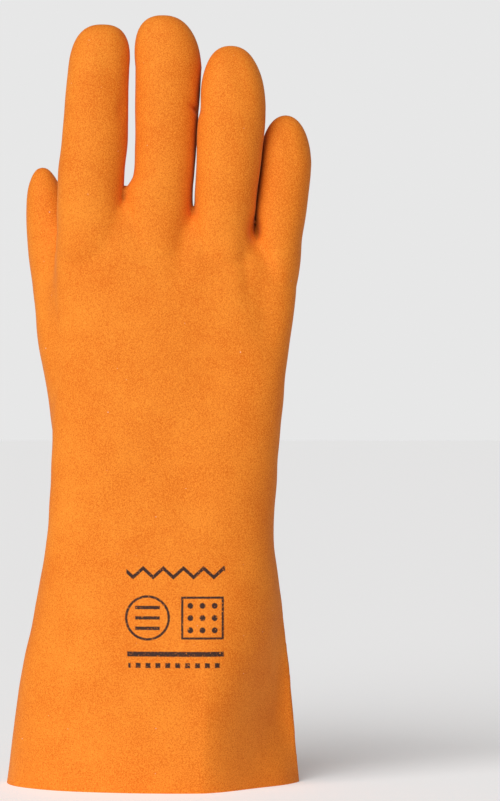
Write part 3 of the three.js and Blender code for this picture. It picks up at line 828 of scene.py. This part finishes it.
class GloveColours(bpy.types.PropertyGroup):
    """Colours of the glove, as screen values from 0 to 255."""

    coat: FloatVectorProperty(
        name="Coat",
        description="Bright grains of the coating",
        default=(249, 149, 43),
        min=0,
        max=255,
    )
    shade: FloatVectorProperty(
        name="Shade",
        description="Dark grains of the coating",
        default=(222, 106, 2),
        min=0,
        max=255,
    )
    lint: FloatVectorProperty(
        name="Lint", description="Specks of lint", default=(250, 232, 214), min=0, max=255
    )
    # colour of the painted shade where fingers lie close together
    painted_crease_shade: FloatVectorProperty(
        name="Painted shade",
        description="Where fingers lie close together",
        default=(96, 40, 14),
        min=0,
        max=255,
    )
    print_ink: FloatVectorProperty(
        name="Print", description="Ink of the print", default=(30, 27, 31), min=0, max=255
    )
    knit: FloatVectorProperty(
        name="Knit",
        description="Bright yarn of the inside",
        default=(232, 222, 205),
        min=0,
        max=255,
    )
    knit_shade: FloatVectorProperty(
        name="Knit shade",
        description="Dark yarn of the inside",
        default=(196, 178, 152),
        min=0,
        max=255,
    )
    print_depth: FloatProperty(
        name="Print depth",
        description="The print shows only in front of this plane, in millimetres",
        default=-14.0,
    )


class GloveStudio(bpy.types.PropertyGroup):
    """Camera and lights."""

    distance: FloatProperty(name="Distance", description="Camera to glove", default=1.4, unit="LENGTH")
    camera_height: FloatProperty(
        name="Camera height", description="Camera above the floor", default=0.1742, unit="LENGTH"
    )
    camera_side: FloatProperty(
        name="Camera side", description="Camera right of the glove", default=0.0416, unit="LENGTH"
    )
    view_height: FloatProperty(
        name="View height",
        description="Height that the picture covers at the glove",
        default=0.3642,
        unit="LENGTH",
    )
    key: FloatProperty(name="Key", description="Strength of the key light", default=2.7)
    key_aside: FloatProperty(
        name="Key aside",
        description="Key light, right of the camera",
        default=np.radians(-31),
        subtype="ANGLE",
    )
    key_up: FloatProperty(
        name="Key up",
        description="Key light above the floor",
        default=np.radians(36),
        subtype="ANGLE",
    )
    fill: FloatProperty(name="Fill", description="Strength of the fill light", default=0.08)
    fill_aside: FloatProperty(
        name="Fill aside",
        description="Fill light, right of the camera",
        default=np.radians(75),
        subtype="ANGLE",
    )
    fill_up: FloatProperty(
        name="Fill up",
        description="Fill light above the floor",
        default=np.radians(20),
        subtype="ANGLE",
    )
    fill_colour: FloatVectorProperty(
        name="Fill colour",
        description="Colour of the fill light",
        default=(1.0, 0.42, 0.22),
        subtype="COLOR",
        min=0,
        max=1,
    )
    sky: FloatProperty(name="Sky", description="Strength of the surrounding light", default=0.12)
    backdrop: FloatProperty(
        name="Backdrop", description="Brightness of the backdrop in the picture", default=0.8
    )


class GLOVE_OT_skin(bpy.types.Operator):
    """Draws the glove's coating, its cut edge and its inside as one skin in place of the solid"""

    bl_idname = "glove.skin"
    bl_label = "Glove skin"

    def execute(self, context):
        sizes, colours = context.scene.glove_sizes, context.scene.glove_colours
        form = GloveForm()
        outer, outer_quads, outer_rim = skin_net(form, sizes.outer_step, 0.0)
        inner, inner_quads, inner_rim = skin_net(form, sizes.inner_step, WALL)
        points = np.concatenate([outer, inner])
        points[:, 0] -= form.spread(points)
        closeness = form.closeness(points)
        points[:, 0] += CAD_LOW.x / MM + CUFF_WIDTH / 2
        points[:, 1] += CAD_LOW.y / MM + CUFF_FRONT
        quads = np.concatenate([outer_quads, inner_quads[:, ::-1] + len(outer)])
        mesh = bpy.data.meshes.new("coated_skin")
        mesh.from_pydata(points * MM, [], quads.tolist())
        is_inner = np.arange(len(quads)) >= len(outer_quads)
        mesh.polygons.foreach_set("material_index", np.where(is_inner, KNIT, COATING).astype(np.int32))
        mesh.polygons.foreach_set("use_smooth", np.ones(len(quads), bool))
        # how close the fingers lie, kept for the painted shade in the coating's colour
        painted_crease_shade = mesh.attributes.new("painted_crease_shade", "FLOAT", "POINT")
        painted_crease_shade.data.foreach_set("value", closeness)
        close_rim(mesh, np.concatenate([outer_rim, inner_rim]))
        for material in (coating_finish(colours), knit_finish(colours), cut_finish(colours)):
            mesh.materials.append(material)
        skin = bpy.data.objects.new("coated_skin", mesh)
        context.collection.objects.link(skin)
        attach(skin, "root")
        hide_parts("glove_shell")
        return {"FINISHED"}


def close_rim(mesh, on_rim):
    """Fills the flat ring between the outer and the inner edge of the cuff and keeps both edges crisp."""
    body = bmesh.new()
    body.from_mesh(mesh)
    body.verts.ensure_lookup_table()
    edges = [edge for edge in body.edges if edge.is_boundary]
    if not all(on_rim[vertex.index] for edge in edges for vertex in edge.verts):
        raise RuntimeError("the skin is open somewhere else than at the cuff edge")
    filled = bmesh.ops.bridge_loops(body, edges=edges)
    for face in filled["faces"]:
        face.material_index = CUT
        face.normal_update()
        if face.normal.z > 0:
            face.normal_flip()
    for edge in edges:
        edge.smooth = False
    body.to_mesh(mesh)
    body.free()


class GLOVE_OT_stage(bpy.types.Operator):
    """Sets the floor, the lights and the camera"""

    bl_idname = "glove.stage"
    bl_label = "Stage"

    def execute(self, context):
        scene, studio = context.scene, context.scene.glove_studio
        floor_mesh = bpy.data.meshes.new("floor")
        corners = [(x * FLOOR_HALF, y * FLOOR_HALF, 0) for x, y in ((-1, -1), (1, -1), (1, 1), (-1, 1))]
        floor_mesh.from_pydata(corners, [], [(0, 1, 2, 3)])
        floor = bpy.data.objects.new("floor", floor_mesh)
        paint = Finish("floor_paint").shade(
            Base_Color=(0.9, 0.9, 0.9, 1),
            Roughness=0.9,
            Specular_IOR_Level=0.1,
            Emission_Color=(1, 1, 1, 1),
            Emission_Strength=0.22,
        )
        floor_mesh.materials.append(paint)
        scene.collection.objects.link(floor)

        add_light(scene, "key", studio.key_aside, studio.key_up, studio.key, (1, 1, 1))
        add_light(scene, "fill", studio.fill_aside, studio.fill_up, studio.fill, studio.fill_colour)
        scene.world = studio_world(studio.sky, studio.backdrop)
        scene.view_settings.view_transform = "Standard"

        camera_data = bpy.data.cameras.new("camera")
        camera_data.lens = camera_data.sensor_width * studio.distance / studio.view_height
        camera = bpy.data.objects.new("camera", camera_data)
        camera.location = (studio.camera_side, -studio.distance, studio.camera_height)
        camera.rotation_euler = (np.pi / 2, 0, 0)
        scene.collection.objects.link(camera)
        scene.camera = camera
        return {"FINISHED"}


def add_light(scene, name, aside, up, strength, colour):
    """Far and wide soft light that shines from an angle right of the camera and an angle up."""
    data = bpy.data.lights.new(name, "SUN")
    data.angle = np.radians(LIGHT_ANGLE)
    data.energy = strength
    data.color = colour
    light = bpy.data.objects.new(name, data)
    towards = Vector((np.sin(aside) * np.cos(up), -np.cos(aside) * np.cos(up), np.sin(up)))
    light.location = towards
    light.rotation_euler = towards.to_track_quat("Z", "Y").to_euler()
    scene.collection.objects.link(light)


def studio_world(strength, backdrop):
    """White surroundings: one strength lights the glove, the other is what the camera sees behind it."""
    world = bpy.data.worlds.new("studio")
    world.use_nodes = True
    tree = world.node_tree
    sky = tree.nodes["Background"]
    sky.inputs["Color"].default_value = (1, 1, 1, 1)
    ray = tree.nodes.new("ShaderNodeLightPath")
    choice = tree.nodes.new("ShaderNodeMix")
    tree.links.new(ray.outputs["Is Camera Ray"], choice.inputs["Factor"])
    choice.inputs["A"].default_value = strength
    choice.inputs["B"].default_value = backdrop
    tree.links.new(choice.outputs["Result"], sky.inputs["Strength"])
    return world


class GLOVE_PT_panel(bpy.types.Panel):
    """Lists the glove's steps, sizes and colours"""

    bl_label = "Coated work glove"
    bl_idname = "GLOVE_PT_panel"
    bl_space_type = "VIEW_3D"
    bl_region_type = "UI"
    bl_category = "Glove"

    def draw(self, context):
        for group in (context.scene.glove_sizes, context.scene.glove_colours, context.scene.glove_studio):
            box = self.layout.box()
            for name in group.__annotations__:
                box.prop(group, name)
        self.layout.operator(GLOVE_OT_skin.bl_idname)
        self.layout.operator(GLOVE_OT_stage.bl_idname)


CLASSES = (GloveSizes, GloveColours, GloveStudio, GLOVE_OT_skin, GLOVE_OT_stage, GLOVE_PT_panel)


def register():
    for made in CLASSES:
        bpy.utils.register_class(made)
    bpy.types.Scene.glove_sizes = PointerProperty(type=GloveSizes)
    bpy.types.Scene.glove_colours = PointerProperty(type=GloveColours)
    bpy.types.Scene.glove_studio = PointerProperty(type=GloveStudio)


def unregister():
    del bpy.types.Scene.glove_sizes
    del bpy.types.Scene.glove_colours
    del bpy.types.Scene.glove_studio
    for made in reversed(CLASSES):
        bpy.utils.unregister_class(made)


def main():
    register()
    bpy.ops.glove.skin()
    bpy.ops.glove.stage()


if __name__ == "__main__":
    main()
